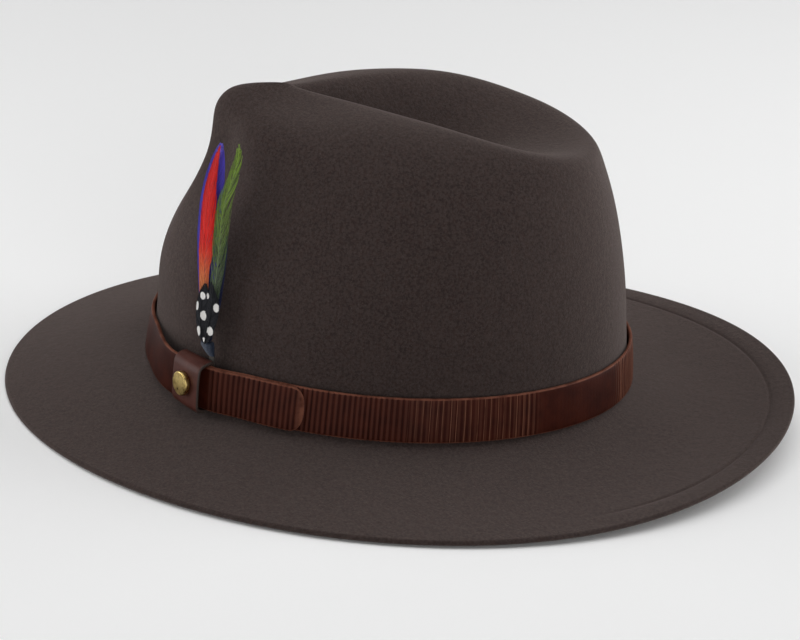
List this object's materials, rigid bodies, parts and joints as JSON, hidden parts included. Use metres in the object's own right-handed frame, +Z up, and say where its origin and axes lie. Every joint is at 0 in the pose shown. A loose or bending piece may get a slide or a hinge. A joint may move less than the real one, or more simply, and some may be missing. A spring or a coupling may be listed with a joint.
{
  "type": "fedora hat",
  "caption": "Felt fedora with a teardrop crown, pinched front and snap brim, a ribbed leather belt band held by a riveted keeper, and a lift-out feather trim.",
  "frame": {"origin": "on the surface the hat stands on, under the centre of the brim", "axes": "+Z up along the crown, -Y the front of the hat, +X the wearer's left, where the feathers are"},
  "size_m": [0.3062, 0.3356, 0.1381],
  "materials": {
    "felt": "dark taupe-brown wool felt, fine short nap",
    "band_leather": "dark red-brown leather, semi-matt, lighter cut edges",
    "sweat_leather": "smooth dark brown leather, satin",
    "reed_plastic": "clear cream cord, satin",
    "tape": "dark grosgrain tape",
    "lining_satin": "dark red-brown satin, soft sheen",
    "label": "blank woven label",
    "brass": "aged satin brass",
    "feather_blue": "dyed blue-violet feather vane",
    "feather_navy": "dark navy feather vane",
    "feather_red": "dyed bright red feather vane, orange towards its root",
    "feather_green": "dyed olive-green feather vane with a pale quill",
    "feather_guinea": "black feather with white spots",
    "thread": "blue-grey wound thread",
    "quill": "pale quill, trimmed flat"
  },
  "bodies": {
    "hat": {"felt_body": "felt", "sweatband": "sweat_leather", "sweatband_reed": "reed_plastic", "reed_tape": "tape", "sweatband_bow": "tape", "size_label": "label", "lining_side": "lining_satin", "lining_tip": "lining_satin", "band_strap": "band_leather", "band_keeper": "band_leather", "rivet_cap": "brass", "rivet_post": "brass"},
    "feather_trim": {"feather_binding": "thread", "feather_stem": "quill", "feather_blue": "feather_blue", "feather_navy": "feather_navy", "feather_red": "feather_red", "feather_green": "feather_green", "feather_guinea_left": "feather_guinea", "feather_guinea_right": "feather_guinea"}
  },
  "joints": [
    {"name": "feather_slide", "type": "slide", "parent": "hat", "child": "feather_trim", "axis": [0, 0, 1], "range_m": [0, 0.04]}
  ]
}
